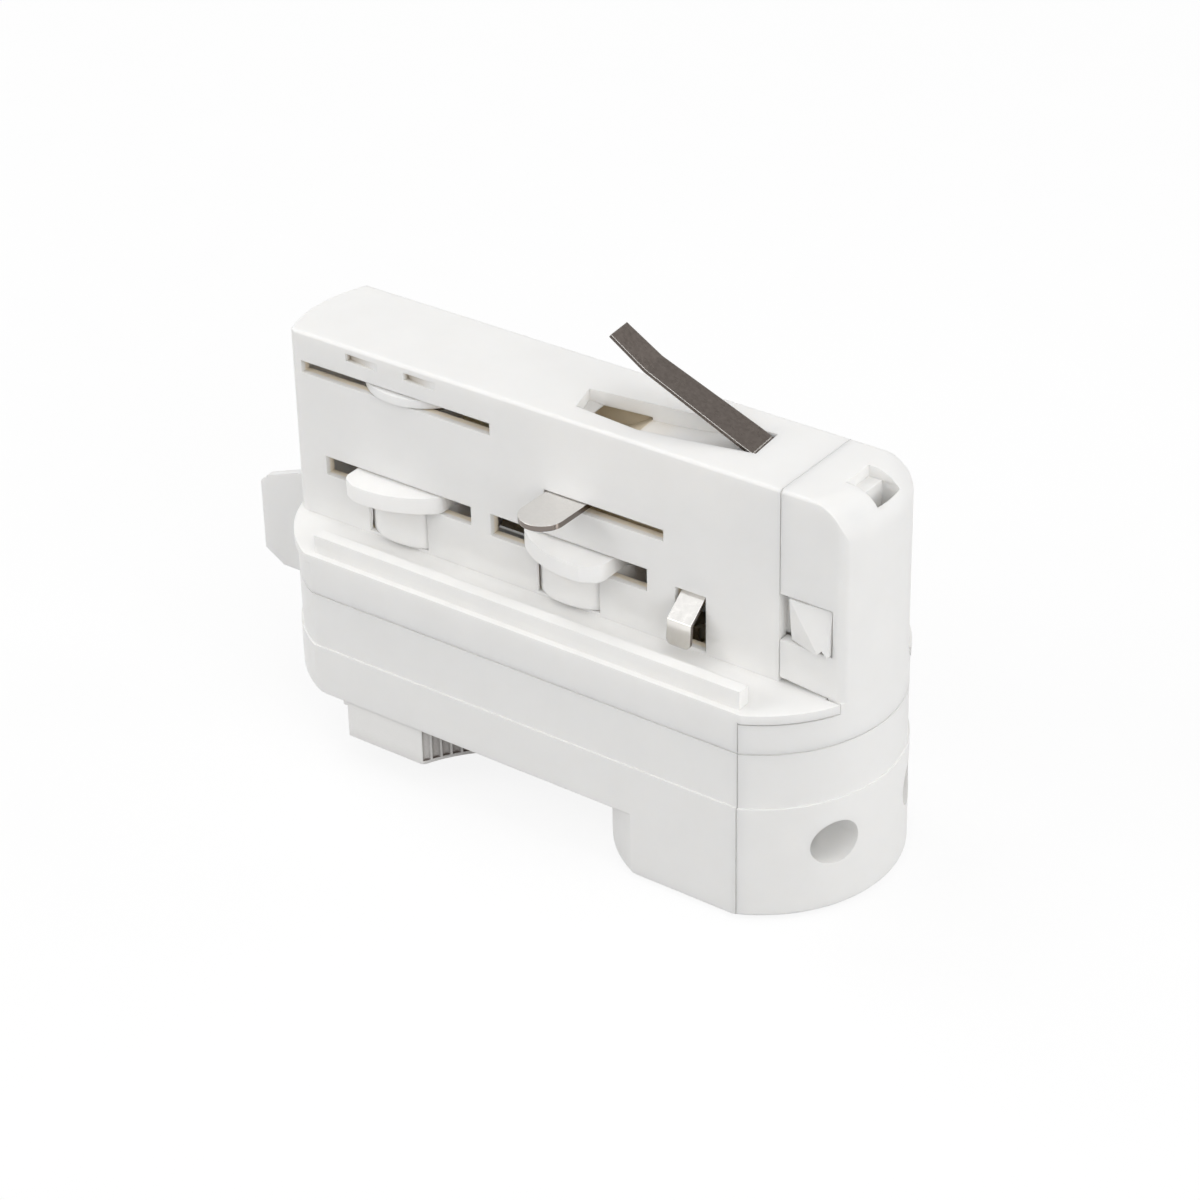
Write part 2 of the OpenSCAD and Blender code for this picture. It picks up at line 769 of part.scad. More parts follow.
module lower_housing() {
  color(white)
    difference() {
      union() {
        intersection() {
          difference() {
            base_outer();
            base_hollow();
          }
          left_of(seam_x);
        }
        intersection() {
          union() {
            translate([lock_x, 0, floor_z - eps])
              cylinder(r = foot_r + boss_wall + 0.4, h = lock_boss_top - floor_z + eps);
            translate([sel_x, 0, floor_z - eps])
              cylinder(r = shaft_r + boss_wall + 0.4, h = sel_boss_low - floor_z + eps);
            translate([end_x, 0, stem_floor_z - eps])
              cylinder(r = nut_boss_r, h = terminal_z - stem_floor_z + eps);
            for (s = [-1, 1])
              translate([seam_x - cap_screw_len, s * cap_screw_y, -cap_screw_z])
                rotate([0, 90, 0])
                  cylinder(r = screw_r + boss_wall, h = cap_screw_len);
            for (p = housing_screw_at)
              translate([p[0], p[1], floor_z - eps])
                cylinder(r = pillar_r, h = -skirt_h - floor_z + eps);
          }
          plan_solid(end_r - eps, base_half - base_wall + eps, -stem_block_h, -skirt_h);
          left_of(seam_x);
        }
      }
      lever_slot();
      translate([lock_x, 0, floor_z + 0.3])
        cylinder(r = foot_r + run_gap, h = base_h);
      translate([sel_x, 0, -base_h - 1])
        cylinder(r = shaft_r + run_gap, h = base_h);
      translate([end_x, 0, -stem_block_h - 1])
        cylinder(r = stem_hole_r, h = stem_floor_t + 2);
      translate([end_x, 0, stem_floor_z])
        cylinder(d = (nut_flats + 0.1) / cos(30), h = terminal_z - stem_floor_z + 1, $fn = 6);
      for (s = [-1, 1])
        translate([seam_x - cap_screw_len + 0.6, s * cap_screw_y, -cap_screw_z])
          rotate([0, 90, 0])
            cylinder(r = screw_r + screw_gap, h = cap_screw_len);
      for (p = housing_screw_at)
        translate([p[0], p[1], -base_h - 1]) {
          cylinder(r = screw_r + screw_gap, h = base_h);
          cylinder(r = screw_head_r + 0.2, h = counterbore_h + 1);
        }
    }
}

// Lifting recess in the roof of the end cap: a step, then a pocket along the rounded end
module lift_recess() {
  x = body_len / 2 - lift_in;
  y = leaf_y - lift_w / 2;
  intersection() {
    union() {
      translate([x, y, neck_h - lift_depth])
        cube([lift_in, lift_w, lift_depth + 1]);
      translate([x + lift_step, y, neck_h - lift_floor])
        cube([lift_in, lift_w + lift_under, lift_floor - lift_depth + eps]);
    }
    turned(end_x, skirt_r - lift_wall, 0, neck_h + 1);
  }
}

// Block that backs the recess
module lift_block() {
  x = body_len / 2 - lift_in;
  skin = 0.3;
  intersection() {
    translate([x - 1.5, leaf_y - lift_w / 2 - 1.2, neck_h - lift_floor - 1.5])
      cube([lift_in + 1.5, lift_w + lift_under + 2.4, lift_floor + 1.5 - skin]);
    turned(end_x, skirt_r - skin, 0, neck_h - skin, right_top_r - skin);
  }
}

module upper_end_cap() {
  color(white)
    difference() {
      union() {
        difference() {
          intersection() {
            union() {
              neck_outer();
              plan_solid(skirt_r, skirt_half, -skirt_h, -horn_t - horn_gap);
              plan_solid(skirt_r, neck_half, -skirt_h, 0);
            }
            right_of(cap_x);
          }
          neck_hollow();
          plan_solid(end_r - base_wall, base_half - base_wall, -skirt_h - 1, -horn_t - ledge_t);
        }
        lift_block();
        intersection() {
          neck_outer();
          translate([seam_x + roof_seam[0], roof_seam[2] - neck_half, neck_h - roof_seam[1]])
            cube([cap_gap + 1, neck_w - 2 * roof_seam[2], 2 * roof_seam[1]]);
        }
      }
      translate([0, neck_half + 1, 0])
        rotate([90, 0, 0])
          linear_extrude(neck_w + 2)
            polygon([[cap_x - 1, -horn_t - horn_gap], [horn_end + horn_gap, -horn_t - horn_gap],
              [horn_end + horn_gap, cap_lift_end], [cap_x, cap_lift], [cap_x - 1, cap_lift]]);
      translate([cap_x - 1, -neck_half - 1, window_z])
        cube([window_len + 1, neck_w + 2, window_h]);
      lift_recess();
    }
}

module lower_end_cap() {
  color(white)
    difference() {
      union() {
        intersection() {
          difference() {
            base_outer();
            base_hollow();
          }
          right_of(cap_x);
        }
        intersection() {
          for (s = [-1, 1])
            translate([cap_x, s * cap_screw_y, -cap_screw_z])
              rotate([0, 90, 0])
                cylinder(r = access_r + 1.6, h = end_r);
          plan_solid(end_r - eps, base_half - base_wall + eps, -stem_block_h, -skirt_h - 1);
          right_of(cap_x);
        }
      }
      for (s = [-1, 1])
        translate([0, s * cap_screw_y, -cap_screw_z])
          rotate([0, 90, 0]) {
            cylinder(r = screw_r + 0.2, h = body_len);
            translate([0, 0, cap_seat_x])
              cylinder(r = access_r, h = body_len);
          }
    }
}

// Waste at a corner of a cam's wing, on its side s, where the circle r about o ends the wing
module wing_trim(o, r, s) {
  in_r = r - cam_corner;
  x = s * (cam_half - cam_corner);
  c = [x, o[1] - sqrt(in_r * in_r - (x - o[0]) * (x - o[0]))];
  corner_trim(c, cam_corner, [s, 0], (c - o) / in_r);
}

// Two-winged locking cam about the Z axis
module cam() {
  translate([0, 0, cam_z])
    linear_extrude(cam_t) {
      circle(neck_half - 0.4);
      for (a = [0, 180])
        rotate(a)
          difference() {
            intersection() {
              translate(cam_offset)
                circle(cam_edge_r);
              circle(cam_reach);
              translate([-cam_half, -cam_edge_r])
                square([2 * cam_half, cam_edge_r]);
            }
            wing_trim([0, 0], cam_reach, 1);
            wing_trim(cam_offset, cam_edge_r, -1);
          }
    }
}

// Upright round bar about the Z axis
module round_bar(r, z0, z1) {
  translate([0, 0, z0])
    cylinder(r = r, h = z1 - z0);
}

// Upright square bar about the Z axis
module square_bar(w, z0, z1) {
  translate([-w / 2, -w / 2, z0])
    cube([w, w, z1 - z0]);
}

// Flat outline of a contact tongue that points to -Y
module tongue_outline(reach) {
  straight = reach - tongue_w / 2;
  translate([-tongue_w / 2, -straight])
    square([tongue_w, straight]);
  translate([0, -straight])
    circle(tongue_w / 2);
}

// Contact tongue on a slip ring, pointing to -Y, with its lower face at z
module contact(z, reach) {
  difference() {
    union() {
      translate([0, 0, z])
        linear_extrude(tongue_t)
          tongue_outline(reach);
      round_bar(slip_r, z - ring_h, z + tongue_t);
    }
    round_bar(column_r + run_gap, z - far, z + far);
  }
}

module locking_rotor() {
  color(white)
    translate([lock_x, 0, 0])
      difference() {
        union() {
          round_bar(pin_r, disc_z, lock_boss_z + boss_t - 0.2);
          round_bar(disc_r, disc_z, disc_z + disc_t);
          round_bar(column_r, cam_top - eps, disc_z + disc_t);
          mirror([1, 0, 0])
            cam();
          round_bar(drum_r, drum_z, cam_z + eps);
          round_bar(column_r, arm_top, drum_z + eps);
          square_bar(square_w, arm_z, arm_top + eps);
          round_bar(foot_r, floor_z + 0.5, arm_z + eps);
        }
        difference() {
          union() {
            translate([0, 0, disc_z - 1])
              linear_extrude(tongue_t + 1)
                rotate(180)
                  tongue_outline(neutral_reach);
            round_bar(slip_r, disc_z - 1, disc_z + tongue_t);
          }
          round_bar(column_r, -far, far);
        }
      }
}

module neutral_contact() {
  color(nickel)
    translate([lock_x, 0, 0])
      rotate(180)
        contact(disc_z, neutral_reach);
}

// Side view of the finger tab, out along X
module tab_outline() {
  r0 = end_r + pass_gap + 0.3;
  corner = 1.2;
  chamfer = [3.3, 2];
  top = -0.7;
  difference() {
    polygon([[r0, top], [r0, -tab_depth], [tab_reach - chamfer[0], -tab_depth],
      [tab_reach, chamfer[1] - tab_depth], [tab_reach, top - tab_fall], [r0 + 5.5, top]]);
    translate([tab_reach - corner, top - tab_fall - corner])
      difference() {
        square(2 * corner);
        circle(corner);
      }
  }
}

module locking_lever() {
  color(white)
    translate([lock_x, 0, 0])
      rotate(180)
        difference() {
          union() {
            round_bar(hub_r, arm_z, arm_top);
            translate([0, -arm_w / 2, arm_z])
              cube([end_r + arm_out, arm_w, arm_t]);
            rotate([90, 0, 0])
              linear_extrude(tab_t)
                tab_outline();
          }
          square_bar(square_w + 0.1, arm_z - 1, arm_top + 1);
        }
}

module lever_retaining_ring() {
  color(steel)
    translate([lock_x, 0, 0])
      difference() {
        round_bar(keeper_r, arm_z - keeper_t, arm_z);
        round_bar(foot_r + 0.02, arm_z - keeper_t - 1, arm_z + 1);
        translate([0, -foot_r / 2, arm_z - keeper_t - 1])
          cube([2 * keeper_r, foot_r, 4 * keeper_t]);
      }
}

// Bus bar outline stood up in the XZ plane at y
module standing_strip(y) {
  translate([0, y + bar_t, 0])
    rotate([90, 0, 0])
      linear_extrude(bar_t)
        children();
}

module neutral_bar() {
  low = terminal_top + 0.4;
  color(brass)
    standing_strip(bar_y) {
      translate([lock_x - 2, neutral_run_z])
        square([neutral_leg_x + bar_w - lock_x + 2, bar_run_h]);
      translate([neutral_leg_x, low])
        square([bar_w, neutral_run_z + bar_run_h - low]);
      translate([neutral_leg_x, low])
        square([neutral_end_x + bar_w - neutral_leg_x, bar_run_h]);
      translate([neutral_end_x, bar_end_z])
        square([bar_w, low + bar_run_h - bar_end_z]);
    }
}

module selector_rotor() {
  color(white)
    translate([sel_x, 0, 0])
      difference() {
        union() {
          round_bar(pin_r, collar_top - eps, sel_boss_top - 0.2);
          round_bar(column_r, cam_top - eps, collar_top);
          cam();
          round_bar(drum_r, drum_z, cam_z + eps);
          round_bar(shaft_r, paddle_top, drum_z + eps);
          round_bar(thrust_r, sel_boss_low + 0.2, sel_boss_low + 0.2 + thrust_t);
          square_bar(square_w, paddle_z + lever_floor, paddle_top + eps);
        }
        round_bar(screw_r + screw_gap - 0.2, paddle_z, paddle_z + lever_screw_len + 0.5);
      }
}

// Plan of the selector lever about its own axis, nested against the stem block when turned
module lever_plan() {
  nest = end_x - sel_x;
  front = paddle_in - base_half;
  tip = -paddle_reach;
  rise = front + grip_corner + nest;
  out = nest_r + grip_corner;
  c = [-sqrt(out * out - rise * rise), front + grip_corner];
  difference() {
    union() {
      circle(sel_hub_r);
      polygon([[0, sel_hub_r], [tip, front + paddle_d], [tip, front], [tip + paddle_len, front],
        [tip + paddle_len + paddle_flare, front + paddle_flare], [0, 0]]);
    }
    translate([0, -nest])
      circle(nest_r);
    corner_trim(c, grip_corner, [0, -1], [-c[0], -rise] / out);
  }
}

// Grooves in the lever's nested flank, counted from its front corner
module grip_grooves() {
  nest = end_x - sel_x;
  first = asin((paddle_in - base_half + nest) / nest_r);
  step = grip_pitch / nest_r * 180 / PI;
  for (i = [0 : 8])
    translate([0, -nest, 0])
      rotate(180 - first - (i + 0.4) * step)
        translate([nest_r - grip_r / 4, 0, paddle_z + grip_edge])
          cylinder(r = grip_r, h = paddle_h, $fn = 24);
}

module selector_lever() {
  color(white)
    translate([sel_x, 0, 0])
      difference() {
        union() {
          translate([0, 0, paddle_z])
            linear_extrude(paddle_h)
              lever_plan();
          translate([-paddle_reach - lever_lip[1], paddle_in - base_half, paddle_top - lever_lip[1]])
            cube([lever_lip[0], paddle_d, lever_lip[1]]);
        }
        grip_grooves();
        square_bar(square_w + 0.1, paddle_z + lever_floor, paddle_top + 1);
        round_bar(screw_r + 0.1, paddle_z - 1, paddle_top);
        round_bar(screw_head_r + 0.1, paddle_z - 1, paddle_z + lever_head_t);
      }
}

module selector_lever_screw() {
  color(steel)
    translate([sel_x, 0, 0])
      difference() {
        union() {
          round_bar(screw_head_r, paddle_z, paddle_z + lever_head_t);
          round_bar(screw_r - 0.2, paddle_z, paddle_z + lever_screw_len);
        }
        driver_cross(paddle_z);
      }
}

// Cross slot in a screw head whose outer face is at z, facing down
module driver_cross(z) {
  for (a = [0, 90])
    rotate(a)
      translate([-screw_head_r * 0.6, -driver_w / 2, z - 1])
        cube([screw_head_r * 1.2, driver_w, driver_deep + 0.9]);
}

module phase_contact() {
  color(nickel)
    translate([sel_x, 0, 0])
      contact(phase_tongue_z, phase_reach);
}

module phase_bar() {
  color(brass)
    standing_strip(-bar_y - bar_t) {
      translate([sel_x - 2, phase_run_z])
        square([phase_leg_x + bar_w - sel_x + 2, bar_run_h]);
      translate([phase_leg_x, bar_end_z])
        square([bar_w, phase_run_z + bar_run_h - bar_end_z]);
    }
}

// Side view of the leaf's blade, from the eye about the origin towards -X
module blade_profile() {
  up = [sin(leaf_rise), cos(leaf_rise)];
  along = [-cos(leaf_rise), sin(leaf_rise)];
  tip_up = [sin(leaf_tip_rise), cos(leaf_tip_rise)];
  tip_along = [-cos(leaf_tip_rise), sin(leaf_tip_rise)];
  mid = (leaf_rise + leaf_tip_rise) / 2;
  miter = [sin(mid), cos(mid)] / cos((leaf_tip_rise - leaf_rise) / 2);
  root = up * eye_mid + along * 0.35;
  bend = root + along * leaf_len;
  tip = bend + tip_along * leaf_tip_len;
  h = strip_t / 2;
  polygon([root - up * h, bend - miter * h, tip - tip_up * h,
    tip + tip_up * h, bend + miter * h, root + up * h]);
}

module earth_leaf() {
  reach = leaf_len + leaf_tip_len;
  color(nickel)
    at_leaf() {
      rotate([90, 0, 0])
        difference() {
          cylinder(r = eye_out, h = leaf_w, center = true);
          cylinder(r = eye_in, h = 2 * leaf_w, center = true);
        }
      intersection() {
        translate([0, leaf_w, 0])
          rotate([90, 0, 0])
            linear_extrude(2 * leaf_w)
              blade_profile();
        translate([0, 0, -far / 4])
          linear_extrude(far / 2)
            polygon([[eye_out + 1, -leaf_w / 2], [eye_out + 1, leaf_w / 2], [-2, leaf_w / 2],
              [-reach, leaf_tip_w / 2], [-reach, -leaf_tip_w / 2], [-2, -leaf_w / 2]]);
      }
    }
}

module earth_leaf_pin() {
  color(steel)
    at_leaf()
      rotate([90, 0, 0])
        cylinder(r = pivot_r, h = 2 * leaf_w - 1.6, center = true);
}

module earth_bar() {
  top = leaf_z + 0.5;
  color(brass)
    difference() {
      standing_strip(earth_bar_y) {
        translate([earth_leg_x, bar_end_z])
          square([bar_w, top - bar_end_z]);
        translate([earth_head_x - earth_head_w / 2, top - 4])
          square([earth_head_w, 4]);
      }
      translate([earth_head_x - pivot_r - 0.1, earth_bar_y - 1, leaf_z - pivot_r - 0.1])
        cube([2 * pivot_r + 0.2, bar_t + 2, 3]);
    }
}

// Section of the side contact in the YZ plane, with its eye about the origin
module side_profile() {
  inward = [sin(side_slope), -cos(side_slope)];
  root = -inward * eye_mid;
  knee = root + side_dir * side_len;
  tip = knee + [-0.4, -knee_drop];
  h = strip_t / 2;
  difference() {
    circle(eye_out);
    circle(eye_in);
  }
  polygon([root - inward * h, knee + [-h - 0.05, h * 0.4], tip + [-h, 0], tip + [h, 0],
    knee + [h, -h * 0.6], root + inward * h]);
}

module earth_side_contact() {
  x = side_w / 2 - side_tip_r;
  z = knee_z - knee_drop + side_tip_r;
  color(nickel)
    difference() {
      translate([side_x - side_w / 2, side_pin_y, side_pin_z])
        rotate([90, 0, 90])
          linear_extrude(side_w)
            side_profile();
      for (s = [-1, 1])
        translate([side_x, 0, 0])
          rotate([90, 0, 0])
            linear_extrude(knee_y + 3)
              corner_trim([s * x, z], side_tip_r, [s, 0], [0, -1]);
    }
}

module side_contact_pin() {
  color(steel)
    translate([side_x, side_pin_y, side_pin_z])
      rotate([0, 90, 0])
        cylinder(r = pivot_r, h = side_w + 2 * lug_gap + 2 * lug_t, center = true);
}

// Place of a terminal: its bar's corner, s = 1 at the back and -1 at the front
module at_terminal(t) {
  translate([t[0] + bar_w / 2, 0, 0])
    mirror([0, t[1] < 0 ? 1 : 0, 0])
      children();
}

module terminal_block() {
  color(grey)
    difference() {
      translate([terminal_x0, -terminal_half, terminal_z])
        cube([terminal_x1 - terminal_x0, 2 * terminal_half, terminal_h]);
      translate([end_x, 0, terminal_z - 1])
        cylinder(r = 3, h = terminal_h + 2);
      for (t = terminals)
        at_terminal(t) {
          translate([-clamp_w / 2, clamp_y0, terminal_top - clamp_h])
            cube([clamp_w, clamp_d, clamp_h + 1]);
          translate([0, clamp_y0, terminal_top - clamp_h / 2])
            rotate([-90, 0, 0])
              cylinder(r = screw_r + 0.3, h = terminal_half);
        }
    }
}

module terminal_clamps() {
  color(brass)
    for (t = terminals)
      at_terminal(t)
        difference() {
          translate([-clamp_w / 2, clamp_y0, terminal_top - clamp_h])
            cube([clamp_w, clamp_d, clamp_h - 0.2]);
          translate([-bar_w / 2 - 0.1, bar_y - 0.1, bar_end_z - 0.2])
            cube([bar_w + 0.2, bar_t + 1.2, clamp_h + 1]);
          translate([0, bar_y, terminal_top - clamp_h / 2])
            rotate([-90, 0, 0])
              cylinder(r = screw_r + screw_gap, h = terminal_half);
        }
}

module terminal_screws() {
  color(steel)
    for (t = terminals)
      at_terminal(t)
        translate([0, bar_y + bar_t + 0.6, terminal_top - clamp_h / 2])
          rotate([-90, 0, 0])
            difference() {
              cylinder(r = screw_r, h = terminal_screw_len);
              translate([-far, -driver_w / 2, terminal_screw_len - driver_deep])
                cube([2 * far, driver_w, 2 * driver_deep]);
            }
}

module stem_nut() {
  color(brass)
    translate([end_x, 0, stem_floor_z])
      difference() {
        cylinder(d = nut_flats / cos(30), h = nut_h, $fn = 6);
        translate([0, 0, -1])
          cylinder(r = nut_bore_r, h = nut_h + 2);
      }
}

module end_cap_screws() {
  color(steel)
    for (s = [-1, 1])
      translate([cap_seat_x, s * cap_screw_y, -cap_screw_z])
        rotate([0, 90, 0])
          difference() {
            union() {
              cylinder(r = screw_head_r, h = head_t);
              translate([0, 0, seam_x - cap_screw_len + 1 - cap_seat_x])
                cylinder(r = screw_r, h = cap_seat_x - seam_x + cap_screw_len - 1 + eps);
            }
            mirror([0, 0, 1])
              driver_cross(-head_t);
          }
}

module housing_screws() {
  color(steel)
    for (p = housing_screw_at)
      translate([p[0], p[1], 0])
        difference() {
          union() {
            round_bar(screw_head_r, counterbore_h - base_h - head_t, counterbore_h - base_h);
            round_bar(screw_r, counterbore_h - base_h - eps, -ledge_t - 0.6);
          }
          driver_cross(counterbore_h - base_h - head_t);
        }
}

upper_housing();
lower_housing();
upper_end_cap();
lower_end_cap();
locking_rotor();
locking_lever();
lever_retaining_ring();
neutral_contact();
neutral_bar();
selector_rotor();
selector_lever();
selector_lever_screw();
phase_contact();
phase_bar();
earth_leaf();
earth_leaf_pin();
earth_bar();
earth_side_contact();
side_contact_pin();
terminal_block();
terminal_clamps();
terminal_screws();
stem_nut();
end_cap_screws();
housing_screws();
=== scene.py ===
import math
import bpy
from mathutils import Matrix, Vector


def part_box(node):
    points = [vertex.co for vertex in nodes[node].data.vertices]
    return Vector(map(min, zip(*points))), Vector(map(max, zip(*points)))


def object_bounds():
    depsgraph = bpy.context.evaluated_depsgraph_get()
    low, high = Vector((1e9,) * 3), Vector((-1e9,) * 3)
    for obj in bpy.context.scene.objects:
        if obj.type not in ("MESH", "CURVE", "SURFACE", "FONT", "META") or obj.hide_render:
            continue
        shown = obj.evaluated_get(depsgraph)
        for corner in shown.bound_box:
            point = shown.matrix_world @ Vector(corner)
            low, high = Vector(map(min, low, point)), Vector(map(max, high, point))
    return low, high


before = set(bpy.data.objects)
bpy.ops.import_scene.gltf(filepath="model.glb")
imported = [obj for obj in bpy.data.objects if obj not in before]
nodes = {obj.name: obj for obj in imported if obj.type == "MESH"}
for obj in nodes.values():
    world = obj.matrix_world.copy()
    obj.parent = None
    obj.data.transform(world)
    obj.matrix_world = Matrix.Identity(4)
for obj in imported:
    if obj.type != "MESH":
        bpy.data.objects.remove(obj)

cad_lo, cad_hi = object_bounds()
scene = bpy.context.scene
scene.view_settings.view_transform = "Standard"

# camera, fitted to the photograph's square frame: degrees, metres, and millimetres for the lens
CAMERA_AZIMUTH = 36.834
CAMERA_ELEVATION = 31.059
CAMERA_ROLL = -1.251
CAMERA_PLACE = (0.246804, -0.328432, 0.243465)
CAMERA_LENS = 104.958
CAMERA_SENSOR = 36
CAMERA_NEAR = 0.01
CAMERA_FAR = 20

# colour sockets of Blender's Mix node
MIX_FACTOR, MIX_A, MIX_B = 0, 6, 7
MIX_RESULT = 2

# edges that the shader softens: radius in metres
EDGE_RADIUS = 0.00012
ROTOR_EDGE_RADIUS = 0.0001
EDGE_SAMPLES = 4

# translucent plastic: warm light goes a little further in than blue light
PLASTIC_IOR = 1.49
PLASTIC_SPECULAR = 0.3
SCATTER_RADIUS = (1, 0.94, 0.86)
SCATTER_SCALE = 0.003

# painted shade: how far the shader looks for covering faces, in metres,
# and the open share of the surroundings where the painted shade is full and where it ends
SHADE_PAINT_DISTANCE = 0.012
SHADE_PAINT_SAMPLES = 8
SHADE_PAINT_FULL = 0.3
SHADE_PAINT_NONE = 0.75

# depth of the fine grain and of the slow waves in the surfaces, in metres
GRAIN_DEPTH = 0.00002
WAVE_DEPTH = 0.00005

# cosine between the softened and the flat normal where the painted highlight on the rim is full and
# where it ends
RIM_FULL = 0.9
RIM_NONE = 0.995

# floor: sizes in metres, colours, and the share of plain white in what is seen of it
FLOOR_HALF = 1.6
FLOOR_DROP = 0.0006
FLOOR_ROUGHNESS = 0.9
FLOOR_LIGHTING = (0.55, 0.55, 0.55)
FLOOR_SEEN = (0.95, 0.95, 0.95)
FLOOR_GLOW = 0.88

# strength of the light from all around
WORLD_LEVEL = 0.03


def make_camera():
    """The camera at the photograph's viewing angle."""
    az, el, roll = (math.radians(a) for a in (CAMERA_AZIMUTH, CAMERA_ELEVATION, CAMERA_ROLL))
    back = Vector((math.sin(az) * math.cos(el), -math.cos(az) * math.cos(el), math.sin(el)))
    right = Vector((math.cos(az), math.sin(az), 0))
    up = back.cross(right)
    x_axis = right * math.cos(roll) + up * math.sin(roll)
    y_axis = up * math.cos(roll) - right * math.sin(roll)
    data = bpy.data.cameras.new("camera")
    data.sensor_width = CAMERA_SENSOR
    data.lens = CAMERA_LENS
    data.clip_start = CAMERA_NEAR
    data.clip_end = CAMERA_FAR
    camera = bpy.data.objects.new("camera", data)
    scene.collection.objects.link(camera)
    placing = Matrix((x_axis, y_axis, back)).transposed().to_4x4()
    placing.translation = Vector(CAMERA_PLACE)
    camera.matrix_world = placing
    scene.camera = camera


class Tree:
    """A new material, with short ways to add and link its shader nodes."""

    def __init__(self, name):
        self.mat = bpy.data.materials.new(name)
        self.mat.use_nodes = True
        self.nt = self.mat.node_tree
        self.bsdf = self.nt.nodes["Principled BSDF"]
        self.out = self.nt.nodes["Material Output"]

    def add(self, kind, **values):
        node = self.nt.nodes.new(kind)
        for key, value in values.items():
            setattr(node, key, value)
        return node

    def link(self, start, end):
        self.nt.links.new(start, end)

    def math(self, operation, *values):
        """A Math node; each value is a number or an output."""
        node = self.add("ShaderNodeMath", operation=operation)
        for value, socket in zip(values, node.inputs):
            if isinstance(value, (int, float)):
                socket.default_value = value
            else:
                self.link(value, socket)
        return node.outputs[0]

    def coords(self):
        return self.add("ShaderNodeTexCoord").outputs["Object"]

    def axes(self, vector):
        parts = self.add("ShaderNodeSeparateXYZ")
        self.link(vector, parts.inputs[0])
        return parts.outputs

    def noise(self, scale, detail, rough):
        node = self.add("ShaderNodeTexNoise")
        node.inputs["Scale"].default_value = scale
        node.inputs["Detail"].default_value = detail
        node.inputs["Roughness"].default_value = rough
        self.link(self.coords(), node.inputs["Vector"])
        return node.outputs["Fac"]

    def ramp(self, value, start, colour_a, end, colour_b):
        """colour_a up to start, colour_b from end on, and a blend between them."""
        node = self.add("ShaderNodeValToRGB")
        stops = ((start, colour_a), (end, colour_b))
        for element, (place, colour) in zip(node.color_ramp.elements, stops):
            element.position = place
            element.color = (*colour, 1)
        self.link(value, node.inputs["Fac"])
        return node.outputs["Color"]

    def span(self, value, low, high, start=0.0, end=1.0):
        """low where value is start, high where it is end, and a straight line between them."""
        node = self.add("ShaderNodeMapRange")
        node.inputs["From Min"].default_value = start
        node.inputs["From Max"].default_value = end
        node.inputs["To Min"].default_value = low
        node.inputs["To Max"].default_value = high
        self.link(value, node.inputs["Value"])
        return node.outputs["Result"]

    def mix(self, factor, a, b, blend="MIX"):
        """A colour mix; each value is a number, a colour or an output."""
        node = self.add("ShaderNodeMix", data_type="RGBA", blend_type=blend)
        for value, place in ((factor, MIX_FACTOR), (a, MIX_A), (b, MIX_B)):
            socket = node.inputs[place]
            if isinstance(value, (int, float)):
                socket.default_value = value
            elif isinstance(value, tuple):
                socket.default_value = (*value, 1)
            else:
                self.link(value, socket)
        return node.outputs[MIX_RESULT]

    def bump(self, height, strength, distance, normal):
        node = self.add("ShaderNodeBump")
        node.inputs["Strength"].default_value = strength
        node.inputs["Distance"].default_value = distance
        self.link(height, node.inputs["Height"])
        self.link(normal, node.inputs["Normal"])
        return node.outputs["Normal"]

    def soft_edge(self, radius):
        node = self.add("ShaderNodeBevel", samples=EDGE_SAMPLES)
        node.inputs["Radius"].default_value = radius
        return node.outputs["Normal"]

    def within(self, spans, soft):
        """1 in a box of the object's own space, 0 further than soft from it; spans are X, Y and Z."""
        value = 1
        for place, (low, high) in zip(self.axes(self.coords()), spans):
            half = (high - low) / 2
            off = self.math("ABSOLUTE", self.math("SUBTRACT", place, (low + high) / 2))
            value = self.math("MULTIPLY", value, self.span(off, 1, 0, half, half + soft))
        return value


def plastic(name, base, shade, edge_r=EDGE_RADIUS, rough=0.44, through=0.35, painted_shade_boxes=(), painted_shade=None):
    """Translucent plastic; the hollow boxes get painted shade in their own colours, and a
    painted-shade colour, when given, darkens faces that other faces cover.
    """
    t = Tree(name)
    b = t.bsdf
    colour = t.ramp(t.noise(scale=140, detail=3, rough=0.55), 0.3, shade, 0.7, base)
    # painted shade: each box is coloured with its own shade colour
    for spans, soft, shade_colour in painted_shade_boxes:
        colour = t.mix(t.within(spans, soft), colour, shade_colour)
    # painted shade: faces that other faces cover are darkened towards the given colour
    if painted_shade:
        near = t.add("ShaderNodeAmbientOcclusion", samples=SHADE_PAINT_SAMPLES)
        near.inputs["Distance"].default_value = SHADE_PAINT_DISTANCE
        colour = t.mix(t.span(near.outputs["AO"], 1, 0, SHADE_PAINT_FULL, SHADE_PAINT_NONE), colour, painted_shade)
    t.link(colour, b.inputs["Base Color"])
    patches = t.noise(scale=900, detail=4, rough=0.6)
    t.link(t.span(patches, rough - 0.05, rough + 0.07, start=0.25, end=0.75), b.inputs["Roughness"])
    b.inputs["IOR"].default_value = PLASTIC_IOR
    b.inputs["Specular IOR Level"].default_value = PLASTIC_SPECULAR
    b.inputs["Subsurface Weight"].default_value = through
    b.inputs["Subsurface Radius"].default_value = SCATTER_RADIUS
    b.inputs["Subsurface Scale"].default_value = SCATTER_SCALE
    grain = t.noise(scale=5200, detail=2, rough=0.6)
    grained = t.bump(grain, strength=0.08, distance=GRAIN_DEPTH, normal=t.soft_edge(edge_r))
    waves = t.noise(scale=260, detail=2, rough=0.5)
    wavy = t.bump(waves, strength=0.05, distance=WAVE_DEPTH, normal=grained)
    t.link(wavy, b.inputs["Normal"])
    return t.mat


